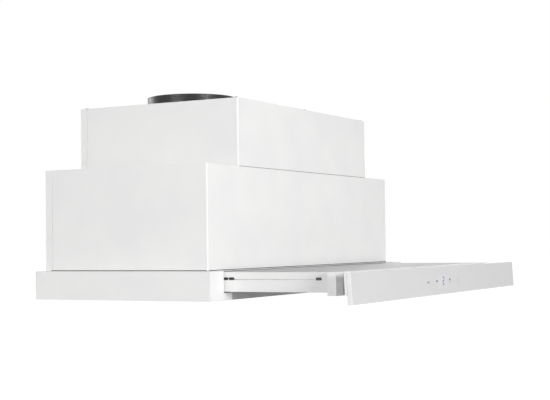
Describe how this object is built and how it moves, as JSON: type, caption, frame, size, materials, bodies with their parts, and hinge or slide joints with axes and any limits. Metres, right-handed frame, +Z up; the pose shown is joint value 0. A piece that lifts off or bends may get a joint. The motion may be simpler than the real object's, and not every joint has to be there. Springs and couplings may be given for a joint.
{
  "type": "pull out range hood",
  "caption": "Slim hood for a wall cabinet: a stepped casing with a blower and duct collar on a flat frame, and a glass-fronted filter drawer that slides out to the front.",
  "frame": {"origin": "Centre of the rectangle of the cabinet screws, in the plane where the frame's top flanges meet the underside of the wall cabinet. The drawer is stored pulled out.", "axes": "+Z up, along the cabinet screws and the duct. -Y to the front, where the drawer pulls out. +X to the right of someone who faces the hood."},
  "size_m": [0.598, 0.4639, 0.279],
  "materials": {
    "white_painted_steel": "smooth semi-gloss powder coat",
    "white_painted_aluminium": "satin powder coat",
    "galvanised_steel": "zinc coated sheet",
    "grey_painted_steel": "satin paint",
    "black_plastic": "moulded, fine grain",
    "white_plastic": "moulded, fine grain",
    "grey_plastic": "moulded, fine grain",
    "plated_screws": "zinc plated",
    "motor_metal": "die cast",
    "capacitor_white": "smooth",
    "board_green": "solder mask",
    "terminal_ivory": "smooth",
    "button_red": "smooth",
    "chrome_trim": "polished",
    "frosted_lens": "frosted",
    "filter_aluminium": "plain rolled",
    "white_backed_glass": "clear, painted white on its back"
  },
  "bodies": {
    "hood_body": {"middle_casing": "white_painted_steel", "middle_back_panel": "white_painted_steel", "step_plate": "white_painted_steel", "upper_casing": "white_painted_steel", "upper_back_panel": "white_painted_steel", "top_plate": "white_painted_steel", "duct_collar": "black_plastic", "casing_screws": "plated_screws", "flap_axle": "plated_screws", "scroll_shell_left": "grey_plastic", "scroll_shell_right": "grey_plastic", "inlet_ring_left": "grey_plastic", "inlet_ring_right": "grey_plastic", "motor_body": "motor_metal", "motor_bracket": "galvanised_steel", "motor_capacitor": "capacitor_white", "electronics_box": "black_plastic", "electronics_lid": "black_plastic", "power_board": "board_green", "terminal_block": "terminal_ivory", "cable_gland": "black_plastic", "drawer_switch": "black_plastic", "frame_side_left": "white_painted_steel", "frame_side_right": "white_painted_steel", "frame_front_rail": "grey_painted_steel", "frame_rear_rail": "white_painted_steel", "frame_deck": "white_painted_steel", "lamp_panel": "white_painted_steel", "lamp_bezel_left": "chrome_trim", "lamp_bezel_right": "chrome_trim", "lamp_lens_left": "frosted_lens", "lamp_lens_right": "frosted_lens", "fixed_rail_left": "galvanised_steel", "fixed_rail_right": "galvanised_steel"},
    "drawer": {"drawer_shell": "white_painted_steel", "drawer_rail_left": "galvanised_steel", "drawer_rail_right": "galvanised_steel", "slide_clips": "black_plastic", "drawer_front_profile": "white_painted_aluminium", "drawer_rear_bar": "white_painted_steel", "control_housing": "white_plastic", "touch_board": "board_green", "glass_carrier": "white_painted_steel", "front_glass": "white_backed_glass"},
    "slide_middle_members": {"middle_rail_left": "galvanised_steel", "middle_rail_right": "galvanised_steel"},
    "blower_wheel": {"impeller": "black_plastic", "motor_shaft": "plated_screws"},
    "front_flap": {"flap_front": "grey_plastic"},
    "rear_flap": {"flap_rear": "grey_plastic"},
    "filter_left": {"filter_frame_left": "filter_aluminium", "filter_mesh_left": "filter_aluminium"},
    "filter_right": {"filter_frame_right": "filter_aluminium", "filter_mesh_right": "filter_aluminium"},
    "latch_left": {"filter_latch_left": "black_plastic"},
    "latch_right": {"filter_latch_right": "black_plastic"},
    "drawer_filter": {"drawer_filter_frame": "filter_aluminium", "drawer_filter_mesh": "filter_aluminium"},
    "drawer_latch": {"drawer_filter_latch": "black_plastic"},
    "switch_button": {"switch_button": "button_red"}
  },
  "joints": [
    {"name": "drawer_slide", "type": "slide", "parent": "hood_body", "child": "drawer", "axis": [0, -1, 0], "range_m": [-0.1475, 0]},
    {"name": "middle_member_slide", "type": "slide", "parent": "hood_body", "child": "slide_middle_members", "axis": [0, -1, 0], "range_m": [-0.07375, 0]},
    {"name": "blower_spin", "type": "hinge", "parent": "hood_body", "child": "blower_wheel", "pos_m": [-0.11, 0.04, 0.096], "axis": [1, 0, 0], "continuous": true},
    {"name": "front_flap_swing", "type": "hinge", "parent": "hood_body", "child": "front_flap", "pos_m": [-0.11, 0, 0.23], "axis": [-1, 0, 0], "range_deg": [0, 75]},
    {"name": "rear_flap_swing", "type": "hinge", "parent": "hood_body", "child": "rear_flap", "pos_m": [-0.11, 0, 0.23], "axis": [1, 0, 0], "range_deg": [0, 75]},
    {"name": "left_filter_swing", "type": "hinge", "parent": "hood_body", "child": "filter_left", "pos_m": [-0.12285, 0.055, -0.0365], "axis": [1, 0, 0], "range_deg": [0, 80]},
    {"name": "right_filter_swing", "type": "hinge", "parent": "hood_body", "child": "filter_right", "pos_m": [0.12285, 0.055, -0.0365], "axis": [1, 0, 0], "range_deg": [0, 80]},
    {"name": "left_latch_slide", "type": "slide", "parent": "filter_left", "child": "latch_left", "axis": [0, 1, 0], "range_m": [0, 0.005], "stiffness_N_per_m": 300, "springref_m": -0.004},
    {"name": "right_latch_slide", "type": "slide", "parent": "filter_right", "child": "latch_right", "axis": [0, 1, 0], "range_m": [0, 0.005], "stiffness_N_per_m": 300, "springref_m": -0.004},
    {"name": "drawer_filter_swing", "type": "hinge", "parent": "drawer", "child": "drawer_filter", "pos_m": [0, -0.1498, -0.0251], "axis": [1, 0, 0], "range_deg": [0, 80]},
    {"name": "drawer_latch_slide", "type": "slide", "parent": "drawer_filter", "child": "drawer_latch", "axis": [0, 1, 0], "range_m": [0, 0.005], "stiffness_N_per_m": 300, "springref_m": -0.004},
    {"name": "switch_press", "type": "slide", "parent": "hood_body", "child": "switch_button", "axis": [0, -1, 0], "range_m": [-0.002, 0], "stiffness_N_per_m": 300, "springref_m": 0.003}
  ],
  "couplings": [
    {"joint": "middle_member_slide", "follows": "drawer_slide", "ratio": 0.5}
  ]
}
